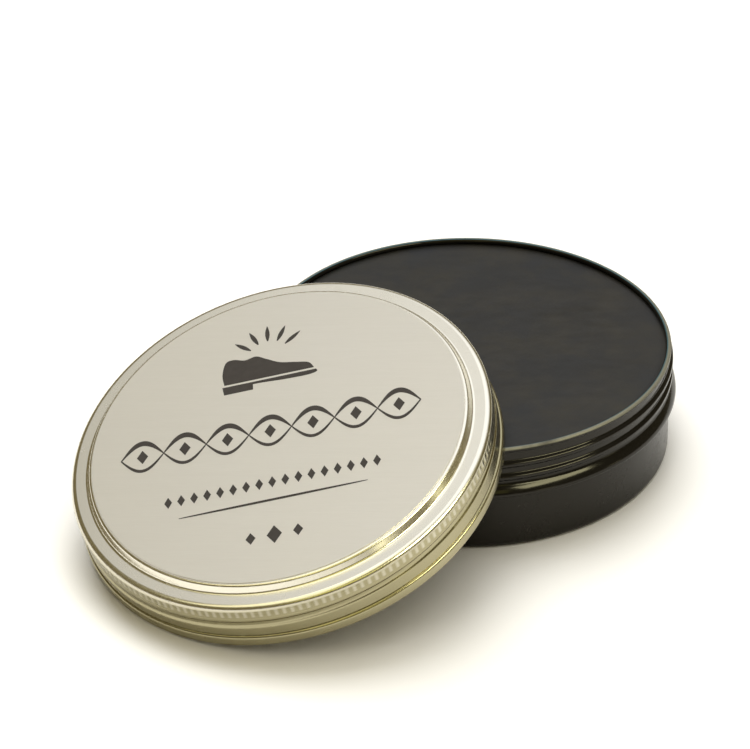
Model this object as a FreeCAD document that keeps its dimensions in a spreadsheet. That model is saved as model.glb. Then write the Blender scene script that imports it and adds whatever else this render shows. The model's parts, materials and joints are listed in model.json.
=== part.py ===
import FreeCAD, Part

import math
import os

import Sketcher

# Shoe polish tin: a drawn aluminium can with a rolled outside thread, the polish poured in it,
# and its screw lid with a printed disc and a foam liner.  The lid is off.  It leans on the can:
# its hem stands on the surface on one side and rests on the can's rim on the other.
# Origin: centre of the can's flat foot.  +Z is the can's axis.  Sizes are in millimetres.

SHEET_NAME = "sizes"

CAN_SIZES = {
    "wall": 0.4,                # sheet thickness of the can
    "body_radius": 39.8,        # outside of the plain wall
    "foot_corner": 1.1,         # outside radius between wall and bottom
    "bead_height": 13.2,        # middle of the stop bead that the closed lid comes down to
    "bead_half_height": 1.35,
    "bead_radius": 41.1,
    "shoulder_top": 14.8,       # where the neck begins
    "neck_radius": 39.75,       # root of the thread
    "rim_height": 22.2,
    "rim_radius": 40.0,
    "curl_radius": 0.55,        # rolled edge of the rim
    "thread_crest": 40.4,
    "thread_pitch": 2.8,
    "thread_root_width": 1.9,
    "thread_crest_width": 0.9,
    "thread_start": 15.6,       # middle of the thread where it begins
    "thread_turns": 1.6,
    "thread_phase": -109.0,     # direction of the thread's beginning, degrees from +X
    "thread_sink": 0.15,        # how far the thread's root runs into the wall
}

POLISH_SIZES = {
    "fill_depth": 1.3,          # surface of the polish below the rim
    "fill_gap": 0.05,           # between polish and metal
}

LID_SIZES = {
    "lid_wall": 0.35,
    "skirt_radius": 40.8,
    "hem_radius": 41.2,
    "hem_shoulder": 1.3,        # where the hem begins to slope in to the skirt
    "hem_height": 2.4,
    "ring_height": 10.1,        # flat ring of the top above the hem's lowest edge
    "lid_corner": 1.0,
    "panel_radius": 36.8,       # wall of the raised panel
    "panel_rise": 1.55,
    "panel_edge": 0.5,
    "panel_foot": 0.4,
    "groove_depth": 0.25,       # rolled thread: a groove outside, a ridge inside
    "ridge_height": 0.35,
    "groove_width": 1.9,
    "groove_bottom_width": 0.9,
    "groove_start": 3.95,
    "groove_phase": 10.0,       # from the lid's +X to where the groove begins, degrees
    "groove_turns": 0.97,
    "label_radius": 36.0,
    "label_thickness": 0.1,
    "liner_radius": 40.2,
    "liner_thickness": 1.7,
    "liner_gap": 0.3,           # between the liner and the ring above it
}

POSE_SIZES = {
    "lean_tilt": 19.7,         # lid's tilt from level, degrees
    "lean_direction": -133.0,   # direction from the can's axis to the lid, degrees from +X
    "lean_distance": 48.0,      # from the can's axis to the middle of the lid's hem circle
}


class Size:
    """A length with the sheet expression that gives it, so that both follow one formula."""

    def __init__(self, value, text):
        self.value = value
        self.text = text

    @staticmethod
    def of(other):
        return other if isinstance(other, Size) else Size(float(other), repr(other))

    def joined(self, other, sign, value):
        return Size(value, "(" + self.text + " " + sign + " " + other.text + ")")

    def __add__(self, other):
        other = Size.of(other)
        return self.joined(other, "+", self.value + other.value)

    def __sub__(self, other):
        other = Size.of(other)
        return self.joined(other, "-", self.value - other.value)

    def __mul__(self, other):
        other = Size.of(other)
        return self.joined(other, "*", self.value * other.value)

    def __truediv__(self, other):
        other = Size.of(other)
        return self.joined(other, "/", self.value / other.value)

    def root(self):
        return Size(math.sqrt(self.value), "sqrt(" + self.text + ")")


ZERO = Size(0.0, "0")


def make_sheet(doc):
    sheet = doc.addObject("Spreadsheet::Sheet", SHEET_NAME)
    row = 1
    for group in (CAN_SIZES, POLISH_SIZES, LID_SIZES, POSE_SIZES):
        for alias, value in group.items():
            sheet.set("A" + str(row), alias)
            sheet.set("B" + str(row), str(value))
            sheet.setAlias("B" + str(row), alias)
            row += 1
    doc.recompute()
    return sheet


def origin_plane(body, role):
    return next(feature for feature in body.Origin.OriginFeatures if feature.Role == role)


def arc_geometry(start, end, radius, left_turn):
    """The shorter arc of this radius from start to end, turning left or right."""
    chord = end - start
    middle = (start + end) * 0.5
    rise = math.sqrt(max(radius ** 2 - (chord.Length / 2) ** 2, 0.0))
    side = FreeCAD.Vector(-chord.y, chord.x, 0).normalize()
    centre = middle + side * (rise if left_turn else -rise)
    first, last = (start, end) if left_turn else (end, start)
    angles = [math.atan2(point.y - centre.y, point.x - centre.x) for point in (first, last)]
    circle = Part.Circle(centre, FreeCAD.Vector(0, 0, 1), radius)
    return Part.ArcOfCircle(circle, angles[0], angles[1])


def bind(sketch, kind, *place, size):
    index = sketch.addConstraint(Sketcher.Constraint(kind, *place, size.value))
    sketch.setExpression("Constraints[" + str(index) + "]", size.text)


def make_outline(body, name, corners, arcs, phase=0.0):
    """A closed section in a plane through the axis, phase degrees on from XZ.  corners holds
    (radius, height) pairs in order; arcs gives, for the side that leaves a corner, its
    (radius, left_turn) where it isn't straight."""
    sketch = body.newObject("Sketcher::SketchObject", name)
    sketch.AttachmentSupport = [(origin_plane(body, "XZ_Plane"), "")]
    sketch.MapMode = "FlatFace"
    turn = FreeCAD.Rotation(FreeCAD.Vector(0, 1, 0), phase)
    sketch.AttachmentOffset = FreeCAD.Placement(FreeCAD.Vector(), turn)
    points = [FreeCAD.Vector(across.value, up.value, 0) for across, up in corners]
    starts = []
    ends = []
    for index, start in enumerate(points):
        end = points[(index + 1) % len(points)]
        if index in arcs:
            radius, left_turn = arcs[index]
            sketch.addGeometry(arc_geometry(start, end, radius.value, left_turn))
            bind(sketch, "Radius", index, size=radius)
            starts.append((index, 1 if left_turn else 2))
            ends.append((index, 2 if left_turn else 1))
        else:
            sketch.addGeometry(Part.LineSegment(start, end))
            starts.append((index, 1))
            ends.append((index, 2))
    for index, (across, up) in enumerate(corners):
        sketch.addConstraint(Sketcher.Constraint("Coincident", *ends[index - 1], *starts[index]))
        if across is ZERO:
            sketch.addConstraint(Sketcher.Constraint("PointOnObject", *starts[index], -2))
        else:
            bind(sketch, "DistanceX", *starts[index], size=across)
        if up is ZERO:
            sketch.addConstraint(Sketcher.Constraint("PointOnObject", *starts[index], -1))
        else:
            bind(sketch, "DistanceY", *starts[index], size=up)
    return sketch


def revolve(body, name, sketch):
    turned = body.newObject("PartDesign::Revolution", name)
    turned.Profile = sketch
    turned.ReferenceAxis = (sketch, ["V_Axis"])
    turned.Angle = 360
    return turned


def make_helix(body, kind, name, sketch, turns):
    helix = body.newObject(kind, name)
    helix.Profile = sketch
    helix.ReferenceAxis = (sketch, ["V_Axis"])
    helix.Mode = "pitch-height-angle"
    helix.setExpression("Pitch", SHEET_NAME + ".thread_pitch * 1mm")
    helix.setExpression("Height", (turns * size("thread_pitch")).text + " * 1mm")
    return helix


def make_body(doc, label):
    body = doc.addObject("PartDesign::Body", label)
    body.Label = label
    return body


def size(alias):
    value = ALL_SIZES[alias]
    return Size(value, SHEET_NAME + "." + alias)


ALL_SIZES = {**CAN_SIZES, **POLISH_SIZES, **LID_SIZES, **POSE_SIZES}


def bead_section(depth):
    """Corners and arc radius of the bead's bulge, on the wall's outside moved in by depth."""
    wall_radius = size("body_radius") - depth
    half = size("bead_half_height")
    bulge = size("bead_radius") - size("body_radius")
    arc_radius = (half * half + bulge * bulge) / (bulge * 2)
    low = (wall_radius, size("bead_height") - half)
    high = (wall_radius, size("bead_height") + half)
    return low, high, arc_radius


def make_can(doc):
    body = make_body(doc, "base_can")
    wall = size("wall")
    outside = size("body_radius")
    corner = size("foot_corner")
    neck = size("neck_radius")
    curl = size("curl_radius")
    curl_middle = size("rim_radius") - curl
    curl_height = size("rim_height") - curl
    overhang = neck - curl_middle
    curl_underside = curl_height - (curl * curl - overhang * overhang).root()
    bead_low, bead_high, bead_arc = bead_section(ZERO)
    inner_low, inner_high, inner_arc = bead_section(wall)
    corners = [
        (ZERO, ZERO),
        (outside - corner, ZERO),
        (outside, corner),
        bead_low,
        bead_high,
        (neck, size("shoulder_top")),
        (neck, curl_underside),
        (curl_middle + curl, curl_height),
        (curl_middle, curl_height + curl),
        (curl_middle - curl, curl_height),
        (neck - wall, curl_height - curl),
        (neck - wall, size("shoulder_top")),
        inner_high,
        inner_low,
        (outside - wall, corner),
        (outside - corner, wall),
        (ZERO, wall),
    ]
    arcs = {
        1: (corner, True),
        3: (bead_arc, True),
        6: (curl, True),
        7: (curl, True),
        8: (curl, True),
        12: (inner_arc, False),
        14: (corner - wall, False),
    }
    revolve(body, "can_shell", make_outline(body, "can_section", corners, arcs))

    middle = size("thread_start")
    root_half = size("thread_root_width") / 2
    crest_half = size("thread_crest_width") / 2
    sunk = neck - size("thread_sink")
    ridge = [
        (sunk, middle - root_half),
        (size("thread_crest"), middle - crest_half),
        (size("thread_crest"), middle + crest_half),
        (sunk, middle + root_half),
    ]
    section = make_outline(body, "can_thread_section", ridge, {})
    make_helix(body, "PartDesign::AdditiveHelix", "can_thread", section, size("thread_turns"))
    turn = FreeCAD.Rotation(FreeCAD.Vector(0, 0, 1), CAN_SIZES["thread_phase"])
    body.Placement = FreeCAD.Placement(FreeCAD.Vector(), turn)
    return body


def make_polish(doc):
    """Polish poured in the can: it fills the corner, the bead's hollow and most of the neck."""
    body = make_body(doc, "polish")
    inset = size("wall") + size("fill_gap")
    outside = size("body_radius") - inset
    corner = size("foot_corner") - inset
    bead_low, bead_high, bead_arc = bead_section(inset)
    corners = [
        (ZERO, inset),
        (outside - corner, inset),
        (outside, inset + corner),
        bead_low,
        bead_high,
        (size("neck_radius") - inset, size("shoulder_top")),
        (size("neck_radius") - inset, size("rim_height") - size("fill_depth")),
        (ZERO, size("rim_height") - size("fill_depth")),
    ]
    arcs = {1: (corner, True), 3: (bead_arc, True)}
    revolve(body, "polish_cake", make_outline(body, "polish_section", corners, arcs))
    return body


def hem_roll():
    """Radius of the hem's rounded lower edge: half the hem's width."""
    return (size("hem_radius") - size("skirt_radius") + size("lid_wall")) / 2


def lid_placement():
    """Where the lid leans: its own origin is the middle of the hem's lowest edge, its +Z runs
    out of the top and its +X points uphill, towards the can."""
    tilt = math.radians(POSE_SIZES["lean_tilt"])
    direction = math.radians(POSE_SIZES["lean_direction"])
    roll = hem_roll().value
    roll_circle = LID_SIZES["hem_radius"] - roll
    outward = FreeCAD.Vector(math.cos(direction), math.sin(direction), 0)
    upward = FreeCAD.Vector(0, 0, 1)
    axis = outward * math.sin(tilt) + upward * math.cos(tilt)
    uphill = upward * math.sin(tilt) - outward * math.cos(tilt)
    roll_middle = outward * POSE_SIZES["lean_distance"]
    roll_middle += upward * (roll + roll_circle * math.sin(tilt))
    rotation = FreeCAD.Rotation(uphill, axis.cross(uphill), axis, "ZXY")
    return FreeCAD.Placement(roll_middle - axis * roll, rotation)


def make_lid(doc):
    body = make_body(doc, "lid_shell")
    wall = size("lid_wall")
    outside = size("skirt_radius")
    inside = outside - wall
    roll = hem_roll()
    hem = size("hem_radius")
    hem_in = hem - outside
    hem_slope = size("hem_height") - size("hem_shoulder")
    hem_arc = (hem_in * hem_in + hem_slope * hem_slope) / (hem_in * 2)
    ring = size("ring_height")
    corner = size("lid_corner")
    panel = size("panel_radius")
    top = ring + size("panel_rise")
    edge = size("panel_edge")
    foot = size("panel_foot")
    corners = [
        (inside, roll),
        (inside + roll, ZERO),
        (hem, roll),
        (hem, size("hem_shoulder")),
        (outside, size("hem_height")),
        (outside, ring - corner),
        (outside - corner, ring),
        (panel + foot, ring),
        (panel, ring + foot),
        (panel, top - edge),
        (panel - edge, top),
        (ZERO, top),
        (ZERO, top - wall),
        (panel - edge, top - wall),
        (panel - wall, top - edge),
        (panel - wall, ring + foot),
        (panel + foot, ring - wall),
        (outside - corner, ring - wall),
        (inside, ring - corner),
    ]
    arcs = {
        0: (roll, True),
        1: (roll, True),
        3: (hem_arc, True),
        5: (corner, True),
        7: (foot, False),
        9: (edge, True),
        13: (edge - wall, False),
        15: (foot + wall, True),
        17: (corner - wall, False),
    }
    revolve(body, "lid_pressing", make_outline(body, "lid_section", corners, arcs))

    # The thread is rolled in: first the ridge inside, then the groove outside that made it.
    middle = size("groove_start")
    wide = size("groove_width") / 2
    narrow = size("groove_bottom_width") / 2
    depth = size("groove_depth")
    height = size("ridge_height")
    sink = wall / 3
    ridge = [
        (inside + sink, middle + wide),
        (inside - height, middle + narrow),
        (inside - height, middle - narrow),
        (inside + sink, middle - wide),
    ]
    groove = [
        (outside + sink, middle + wide),
        (outside - depth, middle + narrow),
        (outside - depth, middle - narrow),
        (outside + sink, middle - wide),
    ]
    turns = size("groove_turns")
    phase = LID_SIZES["groove_phase"]
    ridge_section = make_outline(body, "lid_ridge_section", ridge, {}, phase)
    make_helix(body, "PartDesign::AdditiveHelix", "lid_ridge", ridge_section, turns)
    groove_section = make_outline(body, "lid_groove_section", groove, {}, phase)
    make_helix(body, "PartDesign::SubtractiveHelix", "lid_groove", groove_section, turns)
    body.Placement = lid_placement()
    return body


def make_disc(doc, label, radius, thickness, height):
    """A plain disc whose lower face is this high in the lid's own frame."""
    disc = doc.addObject("Part::Cylinder", label)
    disc.Label = label
    disc.setExpression("Radius", size(radius).text + " * 1mm")
    disc.setExpression("Height", size(thickness).text + " * 1mm")
    lean = lid_placement()
    disc.Placement = lean.multiply(FreeCAD.Placement(FreeCAD.Vector(0, 0, height), FreeCAD.Rotation()))
    return disc


def make_label(doc):
    panel_top = LID_SIZES["ring_height"] + LID_SIZES["panel_rise"]
    return make_disc(doc, "lid_label", "label_radius", "label_thickness", panel_top)


def make_liner(doc):
    underside = LID_SIZES["ring_height"] - LID_SIZES["lid_wall"]
    height = underside - LID_SIZES["liner_gap"] - LID_SIZES["liner_thickness"]
    return make_disc(doc, "lid_liner", "liner_radius", "liner_thickness", height)


def check(doc, pieces):
    for feature in doc.Objects:
        state = set(feature.State)
        if "Invalid" in state or "Error" in state:
            raise RuntimeError(feature.Name + " did not compute: " + str(feature.State))
    for piece in pieces:
        if piece.Shape.isNull() or not piece.Shape.isValid():
            raise RuntimeError(piece.Label + " has no valid shape")


def main():
    doc = FreeCAD.newDocument("shoe_polish_tin")
    make_sheet(doc)
    pieces = [make_can(doc), make_polish(doc), make_lid(doc), make_label(doc), make_liner(doc)]
    doc.recompute()
    check(doc, pieces)
    os.makedirs("parts", exist_ok=True)
    for piece in pieces:
        piece.Shape.exportStep("parts/" + piece.Label + ".step")
        box = piece.Shape.BoundBox
        print(piece.Label, "solids", len(piece.Shape.Solids), "volume", round(piece.Shape.Volume, 1),
              "from", round(box.XMin, 2), round(box.YMin, 2), round(box.ZMin, 3),
              "to", round(box.XMax, 2), round(box.YMax, 2), round(box.ZMax, 3))


main()
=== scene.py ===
import json
import math

import bpy
import numpy as np
from mathutils import Matrix, Vector, noise


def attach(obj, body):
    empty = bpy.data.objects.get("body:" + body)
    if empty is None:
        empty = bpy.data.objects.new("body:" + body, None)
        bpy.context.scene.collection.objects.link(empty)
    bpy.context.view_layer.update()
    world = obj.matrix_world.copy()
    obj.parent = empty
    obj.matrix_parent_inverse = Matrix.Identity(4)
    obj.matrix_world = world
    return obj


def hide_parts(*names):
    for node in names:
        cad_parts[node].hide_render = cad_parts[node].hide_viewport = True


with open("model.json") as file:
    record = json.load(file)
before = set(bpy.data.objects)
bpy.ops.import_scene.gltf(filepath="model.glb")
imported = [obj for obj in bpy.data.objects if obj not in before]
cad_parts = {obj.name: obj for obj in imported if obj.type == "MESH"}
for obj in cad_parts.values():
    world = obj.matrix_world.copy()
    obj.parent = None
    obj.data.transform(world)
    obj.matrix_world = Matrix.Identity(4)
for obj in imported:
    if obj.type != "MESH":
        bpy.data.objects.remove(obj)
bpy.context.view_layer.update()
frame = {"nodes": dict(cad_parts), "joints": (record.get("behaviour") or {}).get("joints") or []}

# Looks of the shoe polish tin: a lacquered can full of wax, and its pressed screw lid leaning
# on it.  Scene units are metres; sizes and outlines are written in millimetres and scaled by MM.
# The can's pieces are turned about the row frame's Z, the lid's about the lid's own axis.

MM = 0.001
TURN = 2 * math.pi
HAIR = 0.01                     # keeps the round pieces inside the CAD box
OWN_PLACE = "own_place"         # each point's place before its piece was put on the tin


# ---------------------------------------------------------------- places taken from the frame

def lid_axes():
    """The lid's own frame: origin in the middle of the hem's lowest edge, +Z out of the top,
    +X uphill towards the can."""
    hinge = next(joint for joint in frame["joints"] if joint["name"] == "lid_turn")
    axis = Vector(hinge["axis"]).normalized()
    uphill = (Vector((0, 0, 1)) - axis * axis.z).normalized()
    turn = Matrix((uphill, axis.cross(uphill), axis)).transposed().to_4x4()
    return Matrix.Translation(Vector(hinge["pos_m"])) @ turn


LID = lid_axes()


def measured(node, place):
    """Radius, less a hair, and lowest and highest height of a node in a frame, in millimetres."""
    into = np.array(place.inverted())
    corners = np.array([vertex.co for vertex in frame["nodes"][node].data.vertices])
    local = (corners @ into[:3, :3].T + into[:3, 3]) / MM
    radius = np.hypot(local[:, 0], local[:, 1]).max() - HAIR
    return radius, local[:, 2].min(), local[:, 2].max()


BEAD_RADIUS, FOOT_HEIGHT, RIM_HEIGHT = measured("base_can", Matrix.Identity(4))
_, POLISH_BOTTOM, POLISH_TOP = measured("polish", Matrix.Identity(4))
HEM_RADIUS, HEM_BOTTOM, PANEL_TOP = measured("lid_shell", LID)
LABEL_RADIUS, LABEL_BOTTOM, LABEL_TOP = measured("lid_label", LID)
LINER_RADIUS, LINER_BOTTOM, LINER_TOP = measured("lid_liner", LID)


# ---------------------------------------------------------------- sheet metal sizes, millimetres

CAN_WALL = 0.4
BODY_RADIUS = BEAD_RADIUS - 1.3
NECK_RADIUS = BODY_RADIUS - 0.05
FOOT_BEND = 1.1
BEAD_LOW = 11.85                # the bead's underside
BEAD_MIDDLE = 12.7              # top of its upright face
BEAD_HIGH = 14.4                # where its upper slope meets the neck
SLOPE_DEPTH = 0.55              # the upper slope's waist, in from the bead's face
SLOPE_RISE = 0.85
CURL_RADIUS = 0.55
CURL_MIDDLE = NECK_RADIUS - 0.3
CURL_TURNS = (-56, 258)         # from below the curl round its outside to the can's inside
THREAD_LOW = 15.0               # the neck between here and THREAD_HIGH is free to be threaded
THREAD_HIGH = RIM_HEIGHT - 1.1
THREAD_START = 15.6
THREAD_PITCH = 2.8
THREAD_TURNS = 1.6
THREAD_PHASE = math.radians(-109)
THREAD_RISE = 0.65
THREAD_HALF = 0.95              # half width at the root
THREAD_CREST = 0.2              # half width at the crest

LID_WALL = 0.35
SKIRT_RADIUS = HEM_RADIUS - 0.4
RING_HEIGHT = PANEL_TOP - 1.55
LID_BEND = 1.2
PANEL_RADIUS = SKIRT_RADIUS - 4.22
PANEL_SLOPE = 0.75              # how far the panel's wall leans out at its foot
PANEL_FOOT = 0.6
PANEL_BEND = 0.6
HEM_TOP = 2.42
HEM_SHOULDER = 0.62
GROOVE_START = 3.95
GROOVE_PHASE = math.radians(10)
GROOVE_TURNS = 0.97
GROOVE_SINK = 0.3
GROOVE_BOTTOM = 0.3             # half width at the groove's bottom
GROOVE_HALF = 1.0               # half width at its mouth
LINE_SINK = 0.07                # the fine line pressed in under the knurl
LINE_HALF = 0.22
KNURL_LOW = 7.45
KNURL_HIGH = 9.2
KNURL_FLUTES = 172
KNURL_SINK = 0.11


# ---------------------------------------------------------------- outlines and turned skins

def arc(middle, radius, start, end, count=8):
    """Points round a circle, from one direction to another, in degrees from +radius."""
    turns = np.radians(np.linspace(start, end, count + 1))
    return [(middle[0] + radius * math.cos(a), middle[1] + radius * math.sin(a)) for a in turns]


def straight(start, end, span):
    """Points from start to end no more than span apart, without the ends."""
    count = max(1, math.ceil(math.dist(start, end) / span))
    return [tuple(np.array(start) + (np.array(end) - np.array(start)) * i / count)
            for i in range(1, count)]


def rounded(corners, count=6):
    """Points along (radius, height, bend) corners; a corner with a bend becomes a fillet, and one
    more point just off each of its ends keeps the flats beside it flat when they are shaded."""
    points = []
    for index, (across, up, bend) in enumerate(corners):
        here = Vector((across, up))
        if not bend:
            points.append((across, up))
            continue
        before = (Vector(corners[index - 1][:2]) - here).normalized()
        after = (Vector(corners[index + 1][:2]) - here).normalized()
        half = before.angle(after) / 2
        middle = here + (before + after).normalized() * bend / math.sin(half)
        reach = bend / math.tan(half)
        spokes = [here + way * reach - middle for way in (before, after)]
        first, last = (math.degrees(math.atan2(spoke.y, spoke.x)) for spoke in spokes)
        last = first + (last - first + 180) % 360 - 180
        guard = min(0.03, bend / 4)
        points.append(tuple(here + before * (reach + guard)))
        points += arc(middle, bend, first, last, count)
        points.append(tuple(here + after * (reach + guard)))
    return points


def smooth_step(value):
    value = np.clip(value, 0, 1)
    return value * value * (3 - 2 * value)


def ridge(distance, crest, half):
    """A smooth ridge across a line: 1 within crest of it, 0 beyond half."""
    return smooth_step((half - np.abs(distance)) / (half - crest))


def helix(heights, angles, start, phase, turns, pitch, crest, half):
    """A right-hand helical ridge of height 1 that fades in and out over its last few degrees."""
    fade = 0.04
    total = np.zeros(np.broadcast_shapes(heights.shape, angles.shape))
    for lap in range(math.ceil(turns)):
        along = ((angles - phase) % TURN) / TURN + lap
        ends = smooth_step(along / fade) * smooth_step((turns - along) / fade)
        total = np.maximum(total, ridge(heights - start - along * pitch, crest, half) * ends)
    return total


def placed(name, mesh, place):
    """A piece moved to its place, whose points keep their own coordinates for its material."""
    corners = np.empty(len(mesh.vertices) * 3)
    mesh.vertices.foreach_get("co", corners)
    mesh.attributes.new(OWN_PLACE, "FLOAT_VECTOR", "POINT").data.foreach_set("vector", corners)
    mesh.transform(place)
    piece = bpy.data.objects.new(name, mesh)
    bpy.context.scene.collection.objects.link(piece)
    return piece


def new_piece(name, vertices, faces, place=Matrix.Identity(4), sharp=40):
    mesh = bpy.data.meshes.new(name)
    mesh.from_pydata(vertices, [], faces)
    mesh.shade_smooth()
    mesh.set_sharp_from_angle(angle=math.radians(sharp))
    return placed(name, mesh, place)


def lathe(name, outline, segments, place=Matrix.Identity(4), shift=None):
    """Turns an outline, which starts and ends on the axis, into a closed skin.  shift takes the
    radii, heights and angles of all points and returns their new radii and heights."""
    outline = np.array(outline[1:-1])
    angles = np.arange(segments) * TURN / segments
    radii = np.repeat(outline[:, :1], segments, axis=1)
    heights = np.repeat(outline[:, 1:], segments, axis=1)
    first_height = heights[0, 0]
    if shift:
        radii, heights = shift(radii, heights, angles[None, :])
    skin = np.stack([radii * np.cos(angles), radii * np.sin(angles), heights], -1).reshape(-1, 3)
    ends = [(0, 0, first_height), (0, 0, heights[-1].mean())]
    vertices = np.concatenate([skin, ends]) * MM
    low, high = len(skin), len(skin) + 1
    last = (len(outline) - 1) * segments
    faces = []
    for j in range(segments):
        k = (j + 1) % segments
        faces.append((low, k, j))
        faces.append((last + j, last + k, high))
        for base in range(0, last, segments):
            faces.append((base + j, base + k, base + segments + k, base + segments + j))
    return new_piece(name, vertices.tolist(), faces, place)


# ---------------------------------------------------------------- materials

class Graph:
    """Short calls for building one material's node tree round its Principled shader."""

    def __init__(self, name, **sockets):
        self.material = bpy.data.materials.new(name)
        self.material.use_nodes = True
        self.tree = self.material.node_tree
        self.shader = self.tree.nodes["Principled BSDF"]
        for socket, value in sockets.items():
            self.shader.inputs[socket.replace("_", " ")].default_value = value
        self.place = self.node("ShaderNodeAttribute", attribute_name=OWN_PLACE).outputs["Vector"]

    def node(self, kind, inputs=None, **settings):
        made = self.tree.nodes.new(kind)
        for key, value in settings.items():
            setattr(made, key, value)
        for key, value in (inputs or {}).items():
            if isinstance(value, bpy.types.NodeSocket):
                self.tree.links.new(value, made.inputs[key])
            else:
                made.inputs[key].default_value = value
        return made

    def link(self, output, socket):
        self.tree.links.new(output, self.shader.inputs[socket])

    def mapped(self, scale, turn=0.0):
        """The piece's own coordinates, turned about Z, then scaled."""
        turned = self.node("ShaderNodeVectorRotate", {"Vector": self.place, "Angle": turn},
                           rotation_type="Z_AXIS")
        sized = self.node("ShaderNodeMapping", {"Vector": turned.outputs[0], "Scale": scale})
        return sized.outputs[0]

    def noise(self, scale, where=None, detail=4.0, roughness=0.5):
        made = self.node("ShaderNodeTexNoise", {"Vector": where or self.place, "Scale": scale,
                                                "Detail": detail, "Roughness": roughness})
        return made.outputs["Fac"]

    def spread(self, value, low, high, new_low, new_high):
        """value from low..high mapped to new_low..new_high, and clamped."""
        made = self.node("ShaderNodeMapRange", {"Value": value, "From Min": low, "From Max": high,
                                                "To Min": new_low, "To Max": new_high})
        return made.outputs["Result"]

    def maths(self, operation, first, second=0.0):
        made = self.node("ShaderNodeMath", {0: first, 1: second}, operation=operation)
        return made.outputs[0]

    def colours(self, factor, first, second):
        made = self.node("ShaderNodeMix", {"Factor": factor}, data_type="RGBA")
        for socket, value in zip((made.inputs[6], made.inputs[7]), (first, second)):
            if isinstance(value, bpy.types.NodeSocket):
                self.tree.links.new(value, socket)
            else:
                socket.default_value = value
        return made.outputs[2]

    def bump(self, height, strength, distance, after=None):
        made = self.node("ShaderNodeBump", {"Height": height, "Strength": strength,
                                            "Distance": distance})
        if after:
            self.tree.links.new(after, made.inputs["Normal"])
        return made.outputs["Normal"]

    def cylinder(self):
        """Radius, angle and height of a point, from the piece's own coordinates."""
        parts = self.node("ShaderNodeSeparateXYZ", {"Vector": self.place}).outputs
        radius = self.maths("SQRT", self.maths("ADD", self.maths("MULTIPLY", parts[0], parts[0]),
                                               self.maths("MULTIPLY", parts[1], parts[1])))
        angle = self.maths("ARCTAN2", parts[1], parts[0])
        return radius, angle, parts[2]


def rgb(red, green, blue):
    return (red, green, blue, 1.0)


def lacquer():
    """Black satin lacquer on drawn aluminium, rubbed to bare metal along the rim's crown, with a
    painted teal fringe of light at the bare strip's inner edge.
    """
    # The warm specular tint is painted warmth in every reflection, standing in for warm
    # surroundings; it is not a colour of the lacquer.
    g = Graph("black_lacquer", Specular_IOR_Level=0.26, Specular_Tint=rgb(1.0, 0.94, 0.82))
    radius, _, height = g.cylinder()
    patches = g.noise(90, detail=6)
    crown = g.spread(height, (RIM_HEIGHT - 0.45) * MM, (RIM_HEIGHT - 0.3) * MM, 0, 1)
    past_teal_fringe = g.spread(radius, (CURL_MIDDLE - 0.22) * MM, (CURL_MIDDLE + 0.05) * MM, 0, 1)
    edge = g.spread(radius, (CURL_MIDDLE - 0.34) * MM, (CURL_MIDDLE - 0.24) * MM, 0, 1)
    worn = g.maths("MULTIPLY", crown, edge)
    bare = g.maths("MULTIPLY", worn, g.spread(patches, 0.30, 0.42, 0.35, 1))
    black = g.colours(g.noise(25), rgb(0.006, 0.0055, 0.005), rgb(0.011, 0.010, 0.008))
    # Painted light: the teal at the bare strip's inner edge is a painted colour fringe of the rim's
    # highlight; only the cream beyond it is the bare metal's own colour.
    metal = g.colours(past_teal_fringe, rgb(0.05, 0.12, 0.15), rgb(0.21, 0.205, 0.165))
    g.link(g.colours(bare, black, metal), "Base Color")
    g.link(g.maths("MULTIPLY", bare, 0.5), "Metallic")
    satin = g.spread(g.noise(160, detail=8, roughness=0.65), 0.3, 0.7, 0.22, 0.30)
    neck = g.spread(height, BEAD_LOW * MM, BEAD_MIDDLE * MM, 0, -0.13)
    wear_and_sheen = g.maths("MULTIPLY", worn, 0.4)
    g.link(g.maths("ADD", g.maths("ADD", satin, neck), wear_and_sheen), "Roughness")
    drawn = g.mapped((60, 60, 2600))
    grain = g.bump(g.noise(1.0, drawn, detail=3), 0.08, 0.00002)
    g.link(g.bump(g.noise(900, detail=2), 0.06, 0.00002, grain), "Normal")
    return g.material


def wax():
    """Black shoe wax: poured, faintly mottled, with a dull bloom where it was touched."""
    g = Graph("black_wax", IOR=1.44, Specular_IOR_Level=0.48)
    cloud = g.noise(48, detail=5, roughness=0.55)
    bloom = g.spread(g.noise(120, detail=6, roughness=0.6), 0.42, 0.75, 0, 1)
    base = g.colours(cloud, rgb(0.0105, 0.009, 0.0065), rgb(0.016, 0.018, 0.023))
    g.link(g.colours(bloom, base, rgb(0.022, 0.020, 0.016)), "Base Color")
    g.link(g.spread(cloud, 0.25, 0.75, 0.38, 0.6), "Roughness")
    fine = g.bump(g.noise(700, detail=5, roughness=0.6), 0.35, 0.00006)
    g.link(g.bump(g.noise(140, detail=3), 0.5, 0.0002, fine), "Normal")
    return g.material


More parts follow.
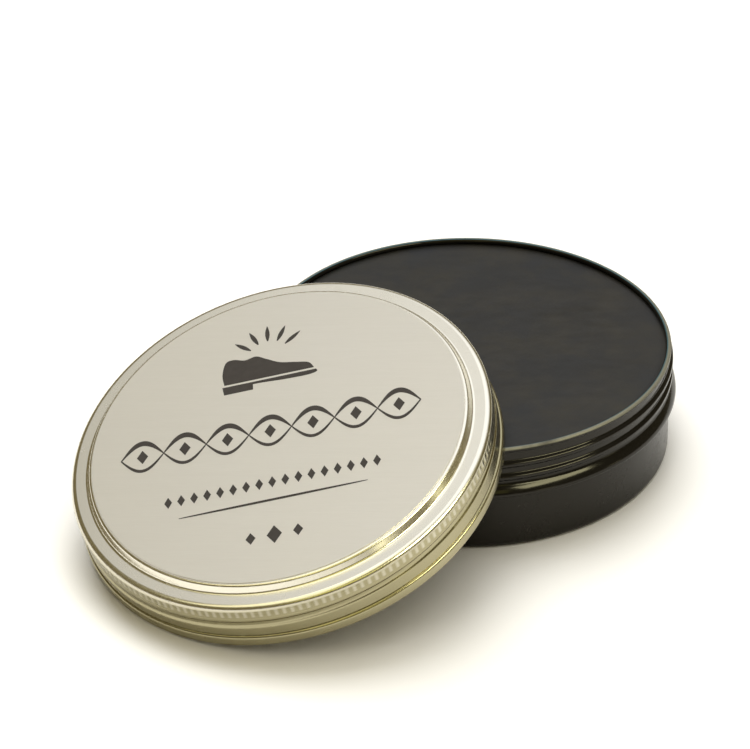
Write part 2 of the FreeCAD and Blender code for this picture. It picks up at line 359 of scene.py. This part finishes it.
def tinplate():
    """Bright rolled metal of the lid. Its skirt is painted a dark olive gold as a painted
    reflection of the shaded warm floor below it, and the top is left plain.
    The knurl's crests are painted paler as painted highlights, with faint lines left by turning and
    a few scuffs."""
    g = Graph("bright_metal", Metallic=1.0)
    radius, angle, height = g.cylinder()
    lines = g.node("ShaderNodeCombineXYZ", {0: g.maths("MULTIPLY", radius, 9000.0),
                                            1: g.maths("MULTIPLY", angle, 2.0),
                                            2: g.maths("MULTIPLY", height, 9000.0)})
    turned = g.noise(1.0, lines.outputs[0], detail=3)
    cloud = g.noise(60, detail=5)
    silver = g.colours(cloud, rgb(0.84, 0.80, 0.69), rgb(0.88, 0.85, 0.76))
    # Painted reflection and shade: the skirt's dark olive gold stands for the shaded warm floor
    # that the skirt reflects, not a coat on the metal; above the skirt's bend the top keeps the
    # plain silver.
    painted_floor_reflection = g.colours(cloud, rgb(0.36, 0.325, 0.20), rgb(0.41, 0.375, 0.24))
    skirt_reflection_mask = g.spread(height, (RING_HEIGHT - LID_BEND) * MM, (RING_HEIGHT - 0.1) * MM, 1, 0)
    # Painted highlight: the knurl's crests are painted paler, towards the plain silver, so the
    # flutes show as light stripes.
    crests = g.maths("COSINE", g.maths("MULTIPLY", angle, KNURL_FLUTES))
    knurl = g.maths("MULTIPLY", g.spread(height, KNURL_LOW * MM, (KNURL_LOW + 0.3) * MM, 0, 1),
                    g.spread(height, (KNURL_HIGH - 0.4) * MM, KNURL_HIGH * MM, 1, 0))
    wear_and_sheen = g.maths("MULTIPLY", knurl, g.spread(crests, -0.5, 1, 0, 0.4))
    g.link(g.colours(wear_and_sheen, g.colours(skirt_reflection_mask, silver, painted_floor_reflection), silver), "Base Color")
    worn = g.noise(260, g.mapped((1, 1, 6)), detail=7, roughness=0.7)
    scuffs = g.spread(worn, 0.5, 0.75, 0, 0.09)
    g.link(g.maths("ADD", g.spread(cloud, 0.3, 0.7, 0.19, 0.26), scuffs), "Roughness")
    g.link(g.bump(turned, 0.02, 0.00002), "Normal")
    return g.material


def print_foil():
    """Satin silver printing ground of the lid's disc, with a straight brushed grain."""
    g = Graph("brushed_foil", Metallic=0.85)
    grain_turn = math.radians(60)
    fine = g.noise(1.0, g.mapped((300, 9000, 300), grain_turn), detail=4, roughness=0.6)
    broad = g.noise(1.0, g.mapped((60, 1400, 60), grain_turn), detail=3)
    cloud = g.noise(30, detail=3)
    tone = g.colours(fine, rgb(0.71, 0.685, 0.63), rgb(0.80, 0.775, 0.73))
    g.link(g.colours(g.maths("MULTIPLY", broad, 0.35), tone, rgb(0.67, 0.645, 0.585)), "Base Color")
    g.link(g.maths("ADD", g.spread(fine, 0.3, 0.7, 0.36, 0.45),
                   g.spread(cloud, 0.3, 0.7, -0.02, 0.02)), "Roughness")
    g.link(g.bump(fine, 0.3, 0.00002), "Normal")
    return g.material


def ink():
    """Dark warm grey printing ink, slightly uneven."""
    g = Graph("print_ink", Specular_IOR_Level=0.2)
    g.link(g.colours(g.noise(600, detail=4), rgb(0.032, 0.028, 0.026), rgb(0.052, 0.046, 0.042)),
           "Base Color")
    g.link(g.spread(g.noise(900, detail=3), 0.3, 0.7, 0.42, 0.55), "Roughness")
    g.link(g.bump(g.noise(1500, detail=2), 0.2, 0.00001), "Normal")
    return g.material


def foam():
    """White closed-cell foam."""
    g = Graph("white_foam", Subsurface_Weight=0.1, Subsurface_Radius=(0.001, 0.001, 0.001))
    cells = g.node("ShaderNodeTexVoronoi", {"Vector": g.place, "Scale": 1800.0}).outputs["Distance"]
    g.link(g.colours(g.noise(200, detail=4), rgb(0.76, 0.75, 0.71), rgb(0.84, 0.83, 0.80)),
           "Base Color")
    g.link(g.spread(cells, 0, 1, 0.6, 0.8), "Roughness")
    g.link(g.bump(cells, 0.6, 0.0001, g.bump(g.noise(60, detail=3), 0.4, 0.0004)), "Normal")
    return g.material


def paint(piece, material):
    piece.data.materials.clear()
    piece.data.materials.append(material)


# ---------------------------------------------------------------- the can

def can_outline():
    """From the middle of the foot up the outside, over the curl and down the inside."""
    inside = NECK_RADIUS - CAN_WALL
    curl_height = RIM_HEIGHT - CURL_RADIUS
    foot = rounded([
        (0, FOOT_HEIGHT, 0),
        (BODY_RADIUS, FOOT_HEIGHT, FOOT_BEND),
        (BODY_RADIUS, BEAD_LOW, 0.3),
        (BEAD_RADIUS, BEAD_LOW + 0.05, 0.35),
        (BEAD_RADIUS, BEAD_MIDDLE, 1.5),
        (BEAD_RADIUS - SLOPE_DEPTH, BEAD_MIDDLE + SLOPE_RISE, 5.0),
        (NECK_RADIUS, BEAD_HIGH, 1.3),
        (NECK_RADIUS, THREAD_LOW, 0),
    ])
    thread = straight((NECK_RADIUS, THREAD_LOW), (NECK_RADIUS, THREAD_HIGH), 0.08)
    curl = arc((CURL_MIDDLE, curl_height), CURL_RADIUS, *CURL_TURNS, 22)
    lining = rounded([
        (inside, THREAD_HIGH - 0.2, 0),
        (inside, FOOT_HEIGHT + FOOT_BEND, 0),
        (inside - 0.7, FOOT_HEIGHT + CAN_WALL, 0),
        (0, FOOT_HEIGHT + CAN_WALL, 0),
    ])
    return foot + thread + [(NECK_RADIUS, THREAD_HIGH)] + curl + lining


def can_shift(radii, heights, angles):
    """Rolls the thread into the neck."""
    outside = (heights > THREAD_LOW - 0.5) & (heights < THREAD_HIGH)
    outside &= radii > NECK_RADIUS - 0.01
    thread = helix(heights, angles, THREAD_START, THREAD_PHASE, THREAD_TURNS, THREAD_PITCH,
                   THREAD_CREST, THREAD_HALF)
    return radii + THREAD_RISE * thread * outside, heights


def make_can():
    can = lathe("can_shell", can_outline(), 576, shift=can_shift)
    paint(can, lacquer())
    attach(can, "base")
    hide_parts("base_can")


# ---------------------------------------------------------------- the polish

POLISH_GAP = 0.12               # between the wax and the neck
POLISH_EDGE = NECK_RADIUS - CAN_WALL - POLISH_GAP
POLISH_SINK = 0.2               # how far the surface lies below the CAD cake's top
POLISH_WAVE = 0.11              # height of the poured surface's swells
MENISCUS_WIDTH = 1.6            # the band that creeps up the metal
MENISCUS_HEIGHT = 0.22


def polish_outline():
    top = [(radius, POLISH_TOP) for radius in np.linspace(POLISH_EDGE, 0, 76)]
    side = rounded([
        (0, POLISH_BOTTOM + 0.1, 0),
        (POLISH_EDGE, POLISH_BOTTOM + 0.1, 1.0),
        (POLISH_EDGE, POLISH_TOP - 1, 0),
    ])
    return side + top


def polish_shift(radii, heights, angles):
    """Swells on the poured surface, flattened towards the edge, where it creeps up the wall."""
    top = heights > POLISH_TOP - 0.1
    swell = np.zeros_like(radii)
    for i, j in zip(*np.nonzero(top)):
        angle = angles[0, j]
        point = Vector((math.cos(angle), math.sin(angle), 0)) * radii[i, j]
        slow = noise.noise(point * 0.11 + Vector((3, 7, 1)))
        quick = noise.noise(Vector((point.x * 0.28, point.y * 0.5, 5)))
        swell[i, j] = slow + 0.45 * quick
    inward = POLISH_EDGE - radii
    calm = smooth_step(inward / 5) * 0.8 + 0.2
    creep = MENISCUS_HEIGHT * smooth_step(1 - inward / MENISCUS_WIDTH) ** 2
    return radii, heights + top * (POLISH_WAVE * swell * calm - POLISH_SINK + creep)


def make_polish():
    polish = lathe("polish_cake", polish_outline(), 256, shift=polish_shift)
    paint(polish, wax())
    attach(polish, "base")
    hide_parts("polish")


# ---------------------------------------------------------------- the lid

def lid_outline():
    """From the middle of the underside, down inside the skirt, round the hem and over the top."""
    inside = SKIRT_RADIUS - LID_WALL
    below = RING_HEIGHT - LID_WALL
    roll = (HEM_RADIUS - inside) / 2
    underside = rounded([
        (0, PANEL_TOP - LID_WALL, 0),
        (PANEL_RADIUS - LID_WALL, PANEL_TOP - LID_WALL, 0.15),
        (PANEL_RADIUS + PANEL_SLOPE - LID_WALL, below, 0.7),
        (inside, below, LID_BEND - LID_WALL),
        (inside, HEM_TOP, 0),
    ], 4)
    skirt_inside = straight((inside, RING_HEIGHT - LID_BEND - 0.1), (inside, HEM_TOP), 0.35)
    underside = underside[:-1] + skirt_inside + [(inside, HEM_TOP)]
    hem = arc((inside + roll, HEM_BOTTOM + roll), roll, 180, 360, 10)
    hem += arc((HEM_RADIUS - HEM_SHOULDER, HEM_TOP - HEM_SHOULDER - 0.1), HEM_SHOULDER, 0, 78, 8)
    crease = [(SKIRT_RADIUS - 0.1, HEM_TOP), (SKIRT_RADIUS - 0.02, HEM_TOP + 0.12)]
    skirt = straight((SKIRT_RADIUS, HEM_TOP + 0.12), (SKIRT_RADIUS, RING_HEIGHT - LID_BEND), 0.15)
    top = rounded([
        (SKIRT_RADIUS, RING_HEIGHT - LID_BEND - 0.02, 0),
        (SKIRT_RADIUS, RING_HEIGHT, LID_BEND),
        (PANEL_RADIUS + PANEL_SLOPE, RING_HEIGHT, PANEL_FOOT),
        (PANEL_RADIUS, PANEL_TOP, PANEL_BEND),
        (0, PANEL_TOP, 0),
    ], 8)
    return underside + hem + crease + skirt + top


def lid_shift(radii, heights, angles):
    """Rolls the thread, the line above it and the knurled band into both faces of the skirt."""
    skirt = (heights > HEM_TOP + 0.1) & (heights < RING_HEIGHT - 0.5)
    skirt &= radii > SKIRT_RADIUS - LID_WALL - 0.01
    groove = helix(heights, angles, GROOVE_START, GROOVE_PHASE, GROOVE_TURNS, THREAD_PITCH,
                   GROOVE_BOTTOM, GROOVE_HALF)
    line = ridge(heights - KNURL_LOW + 0.15, 0.02, LINE_HALF)
    band = smooth_step((heights - KNURL_LOW) / 0.25) * smooth_step((KNURL_HIGH - heights) / 0.35)
    flutes = (0.5 - 0.5 * np.cos(KNURL_FLUTES * angles)) * band
    sink = GROOVE_SINK * groove + LINE_SINK * line + KNURL_SINK * flutes
    return radii - sink * skirt, heights


def make_lid():
    shell = lathe("lid_pressing", lid_outline(), KNURL_FLUTES * 4, LID, lid_shift)
    paint(shell, tinplate())
    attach(shell, "lid")
    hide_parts("lid_shell")


def make_disc():
    edge = 0.05
    outline = rounded([
        (0, LABEL_BOTTOM, 0),
        (LABEL_RADIUS - edge, LABEL_BOTTOM, 0),
        (LABEL_RADIUS, LABEL_BOTTOM + edge, 0),
        (LABEL_RADIUS, LABEL_TOP, edge * 0.6),
        (LABEL_RADIUS * 0.75, LABEL_TOP, 0),
        (LABEL_RADIUS * 0.4, LABEL_TOP, 0),
        (0, LABEL_TOP, 0),
    ], 4)
    disc = lathe("printed_disc", outline, 360, LID)
    paint(disc, print_foil())
    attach(disc, "lid")
    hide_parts("lid_label")


def liner_shift(radii, heights, angles):
    """Foam swells a little between its edge and the rim's print."""
    top = heights > LINER_TOP - 0.2
    bottom = heights < LINER_BOTTOM + 0.2
    rim_print = ridge(radii - CURL_MIDDLE, 0.2, 1.0)
    return radii, heights + bottom * 0.18 * rim_print - top * 0.05 * rim_print


def make_liner():
    middle = (LINER_TOP + LINER_BOTTOM) / 2
    middle_part = np.linspace(0, LINER_RADIUS - 2.6, 12)
    rim_part = np.linspace(LINER_RADIUS - 2.4, LINER_RADIUS - 0.4, 12)
    under = [(radius, LINER_BOTTOM) for radius in [*middle_part, *rim_part]]
    side = rounded([
        (LINER_RADIUS - 0.35, LINER_BOTTOM, 0),
        (LINER_RADIUS, LINER_BOTTOM, 0.3),
        (LINER_RADIUS - 0.06, middle, 0),
        (LINER_RADIUS, LINER_TOP, 0.3),
        (LINER_RADIUS - 0.4, LINER_TOP, 0),
    ], 5)
    over = [(radius, LINER_TOP) for radius in np.linspace(LINER_RADIUS - 0.8, 0, 24)]
    liner = lathe("foam_liner", under + side + over, 240, LID, liner_shift)
    paint(liner, foam())
    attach(liner, "liner")
    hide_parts("lid_liner")


# ---------------------------------------------------------------- printed artwork on the disc

ART_TURN = math.radians(-45)    # from the lid's uphill direction to the print's reading direction
ART_SHIFT = -1.2                # the print sits a little left of the middle
INK_RISE = 0.03
INK_SINK = 0.005                # how far the ink reaches into the disc


def counterclockwise(outline):
    """The outline's points, reversed if they go round clockwise."""
    points = np.array(outline)
    after = np.roll(points, -1, axis=0)
    area = np.sum(points[:, 0] * after[:, 1] - after[:, 0] * points[:, 1]) / 2
    return points if area > 0 else points[::-1]


def extruded(outlines):
    """Vertices and faces of closed flat shapes of ink, from lists of (x, y) points."""
    vertices = []
    faces = []
    for outline in outlines:
        points = counterclockwise(outline)
        count = len(points)
        low = len(vertices)
        high = low + count
        vertices += [(x, y, 0) for x, y in points]
        vertices += [(x, y, INK_RISE) for x, y in points]
        faces.append(tuple(range(high - 1, low - 1, -1)))
        faces.append(tuple(range(high, high + count)))
        for i in range(count):
            j = (i + 1) % count
            faces.append((low + i, low + j, high + j, high + i))
    return vertices, faces


def stroke(points, widths):
    """Outline of a line of changing width."""
    points = np.array(points, float)
    along = np.gradient(points, axis=0)
    across = np.stack([-along[:, 1], along[:, 0]], -1)
    across /= np.linalg.norm(across, axis=1)[:, None]
    half = np.broadcast_to(np.array(widths, float), len(points))[:, None] / 2
    side = across * half
    return [tuple(point) for point in [*(points - side), *(points + side)[::-1]]]


def lozenge(x, y, width, height):
    return [(x - width / 2, y), (x, y - height / 2), (x + width / 2, y), (x, y + height / 2)]


def curve(points, count=12):
    """A smooth line through points (Catmull-Rom)."""
    ends = [np.array(p, float) for p in [points[0], *points, points[-1]]]
    smooth = []
    for a, b, c, d in zip(ends, ends[1:], ends[2:], ends[3:]):
        for t in np.arange(count) / count:
            smooth.append(0.5 * (2 * b + (c - a) * t + (2 * a - 5 * b + 4 * c - d) * t ** 2
                                 + (3 * b - a - 3 * c + d) * t ** 3))
    return [tuple(p) for p in smooth] + [tuple(points[-1])]


def shoe_emblem(x, y):
    """A laced shoe seen from its side, under five strokes of shine."""
    upper = curve([(-8.6, -3.4), (-8.9, -0.6), (-8.2, 2.4), (-6.6, 2.9), (-4.4, 2.2), (-2.2, 2.6),
                   (-0.2, 1.4), (2.4, -0.2), (5.4, -1.0), (8.0, -1.8), (9.0, -3.4)])
    sole = curve([(9.4, -3.9), (9.5, -4.6), (7.6, -5.0), (3.0, -4.9), (-0.6, -4.6), (-3.0, -4.5)])
    heel = [(-3.0, -5.9), (-8.7, -5.9), (-9.0, -3.9)]
    shapes = [upper, sole + heel]
    for way in np.radians([40, 65, 90, 115, 140]):
        ray = [(0.2 + r * math.cos(way), 1.6 + r * math.sin(way)) for r in np.linspace(4.4, 8.4, 6)]
        shapes.append(stroke(ray, np.sin(np.linspace(0.25, math.pi - 0.1, 6)) * 0.9))
    return [[(x + px, y + py) for px, py in shape] for shape in shapes]


def ornament_band(y):
    """A chain of pointed ovals drawn thick and thin, with a lozenge in each."""
    half, height, eyes = 29.0, 3.5, 7
    along = np.linspace(-half, half, eyes * 24 + 1)
    wave = np.sin((along + half) / (2 * half) * eyes * math.pi)
    shapes = []
    for side, thick in ((1, 0.95), (-1, 0.45)):
        widths = 0.3 + thick * np.abs(wave) ** 1.5
        shapes.append(stroke(np.stack([along, y + side * height * np.abs(wave)], -1), widths))
    for eye in range(eyes):
        middle = -half + (eye + 0.5) * 2 * half / eyes
        shapes.append(lozenge(middle, y, 2.2, 3.4))
    return shapes


def rule(y, half, width):
    """A line that tapers to both ends."""
    along = np.linspace(-half, half, 41)
    return stroke(np.stack([along, np.full_like(along, y)], -1),
                  width * (0.25 + 0.75 * np.cos(along / half * math.pi / 2) ** 0.6))


def artwork():
    shapes = shoe_emblem(0, 18.5) + ornament_band(1.0)
    shapes += [lozenge(x, -12.0, 1.5, 2.8) for x in np.linspace(-20, 20, 17)]
    shapes.append(rule(-16.4, 18, 0.55))
    for x, width in ((-4.5, 1.9), (0, 2.9), (4.5, 1.9)):
        shapes.append(lozenge(x, -25.0, width, width * 1.5))
    return [[(px + ART_SHIFT, py) for px, py in shape] for shape in shapes]


def make_print():
    vertices, faces = extruded(artwork())
    turn = Matrix.Rotation(ART_TURN, 4, "Z")
    rise = Matrix.Translation((0, 0, LABEL_TOP - INK_SINK))
    mesh = bpy.data.meshes.new("printed_artwork")
    mesh.from_pydata(vertices, [], faces)
    mesh.transform(Matrix.Scale(MM, 4) @ rise @ turn)
    print_piece = placed("printed_artwork", mesh, LID)
    paint(print_piece, ink())
    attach(print_piece, "lid")


# ---------------------------------------------------------------- floor, light and camera

CAMERA_DISTANCE = 0.66513       # metres in front of the tin
CAMERA_HEIGHT = 0.42926         # metres
CAMERA_PITCH = 0.5578           # radians below level
CAMERA_YAW = -0.0268            # radians clockwise from +Y
CAMERA_ROLL = -0.0138           # radians
CAMERA_LENS = 192.0             # millimetres

CEILING_AIM = Vector((0.14, 0.38, 0.91))
CEILING_LIGHT = rgb(1.26, 1.27, 1.29)
CEILING_FADE = (0.74, 0.95)     # cosines from CEILING_AIM between which the walls turn to ceiling
WALL_LIGHT = rgb(0.17, 0.14, 0.07)

FLOOR_HALF = 3.0                # metres
FLOOR_DROP = 0.05               # keeps the floor clear of the foot


def make_floor():
    corners = [(x * FLOOR_HALF, y * FLOOR_HALF, 0) for x, y in ((-1, -1), (1, -1), (1, 1), (-1, 1))]
    below = Matrix.Translation((0, 0, -FLOOR_DROP * MM))
    floor = new_piece("floor", corners, [(0, 1, 2, 3)], below)
    g = Graph("pale_floor", Specular_IOR_Level=0.2, Roughness=0.6)
    cloud = g.noise(4, detail=2)
    g.link(g.colours(cloud, rgb(0.90, 0.90, 0.89), rgb(0.93, 0.93, 0.92)), "Base Color")
    paint(floor, g.material)


def softbox(name, azimuth, elevation, distance, size, radiance, colour, glossy):
    """A rectangular area light aimed at the tin.  Its azimuth is measured from +X towards +Y,
    in degrees, and its distance and size in metres.  A glossy one only makes highlights, and
    the other kind makes none."""
    width, height = size
    light = bpy.data.lights.new(name, "AREA")
    light.shape = "RECTANGLE"
    light.size = width
    light.size_y = height
    light.energy = radiance * math.pi * width * height
    light.color = colour
    lamp = bpy.data.objects.new(name, light)
    bpy.context.scene.collection.objects.link(lamp)
    turn, rise = math.radians(azimuth), math.radians(elevation)
    level = math.cos(rise)
    way = Vector((math.cos(turn) * level, math.sin(turn) * level, math.sin(rise)))
    lamp.location = way * distance
    lamp.visible_camera = False
    lamp.visible_glossy = glossy
    lamp.visible_diffuse = not glossy
    lamp.rotation_euler = (-way).to_track_quat("-Z", "Y").to_euler()


def studio():
    """Dim warm walls under a broad ceiling light that fades in towards its middle."""
    world = bpy.data.worlds.new("studio")
    world.use_nodes = True
    nodes, links = world.node_tree.nodes, world.node_tree.links
    background = nodes["Background"]
    way = nodes.new("ShaderNodeTexCoord")
    aim = nodes.new("ShaderNodeVectorMath")
    aim.operation = "DOT_PRODUCT"
    aim.inputs[1].default_value = CEILING_AIM.normalized()
    links.new(way.outputs["Generated"], aim.inputs[0])
    fade = nodes.new("ShaderNodeMapRange")
    fade.interpolation_type = "SMOOTHSTEP"
    fade.inputs["From Min"].default_value = CEILING_FADE[0]
    fade.inputs["From Max"].default_value = CEILING_FADE[1]
    links.new(aim.outputs["Value"], fade.inputs["Value"])
    mix = nodes.new("ShaderNodeMix")
    mix.data_type = "RGBA"
    mix.inputs[6].default_value = WALL_LIGHT
    mix.inputs[7].default_value = CEILING_LIGHT
    links.new(fade.outputs["Result"], mix.inputs["Factor"])
    links.new(mix.outputs[2], background.inputs["Color"])
    bpy.context.scene.world = world


def make_light():
    studio()
    softbox("key", 105, 62, 1.2, (0.9, 0.9), 5.0, (1.0, 0.99, 0.97), glossy=False)
    softbox("fill", -70, 68, 1.2, (1.4, 1.4), 1.2, (1.0, 0.95, 0.81), glossy=False)
    softbox("glint", -38, 42, 0.9, (0.55, 0.2), 12.0, (1.0, 0.98, 0.66), glossy=True)
    softbox("amber", -87, 33, 1.0, (0.6, 0.3), 0.7, (1.0, 0.95, 0.25), glossy=True)
    softbox("overhead", -135, 62, 1.0, (0.9, 0.7), 1.1, (1.0, 0.96, 0.64), glossy=True)
    softbox("low_right", -11, 8, 1.0, (0.14, 0.1), 2.0, (1.0, 0.96, 0.6), glossy=True)
    softbox("low_front", -50, 4, 1.0, (0.16, 0.09), 2.0, (1.0, 0.96, 0.6), glossy=True)
    bpy.context.scene.view_settings.view_transform = "Standard"


def make_camera():
    ahead = Vector((math.sin(CAMERA_YAW), math.cos(CAMERA_YAW), 0))
    forward = ahead * math.cos(CAMERA_PITCH) - Vector((0, 0, math.sin(CAMERA_PITCH)))
    level = Vector((ahead.y, -ahead.x, 0))
    right = level * math.cos(CAMERA_ROLL) + level.cross(forward) * math.sin(CAMERA_ROLL)
    data = bpy.data.cameras.new("camera")
    data.lens = CAMERA_LENS
    camera = bpy.data.objects.new("camera", data)
    bpy.context.scene.collection.objects.link(camera)
    turn = Matrix((right, right.cross(forward), -forward)).transposed().to_4x4()
    camera.matrix_world = Matrix.Translation((0, -CAMERA_DISTANCE, CAMERA_HEIGHT)) @ turn
    bpy.context.scene.camera = camera


make_can()
make_polish()
make_lid()
make_disc()
make_print()
make_liner()
make_floor()
make_light()
make_camera()
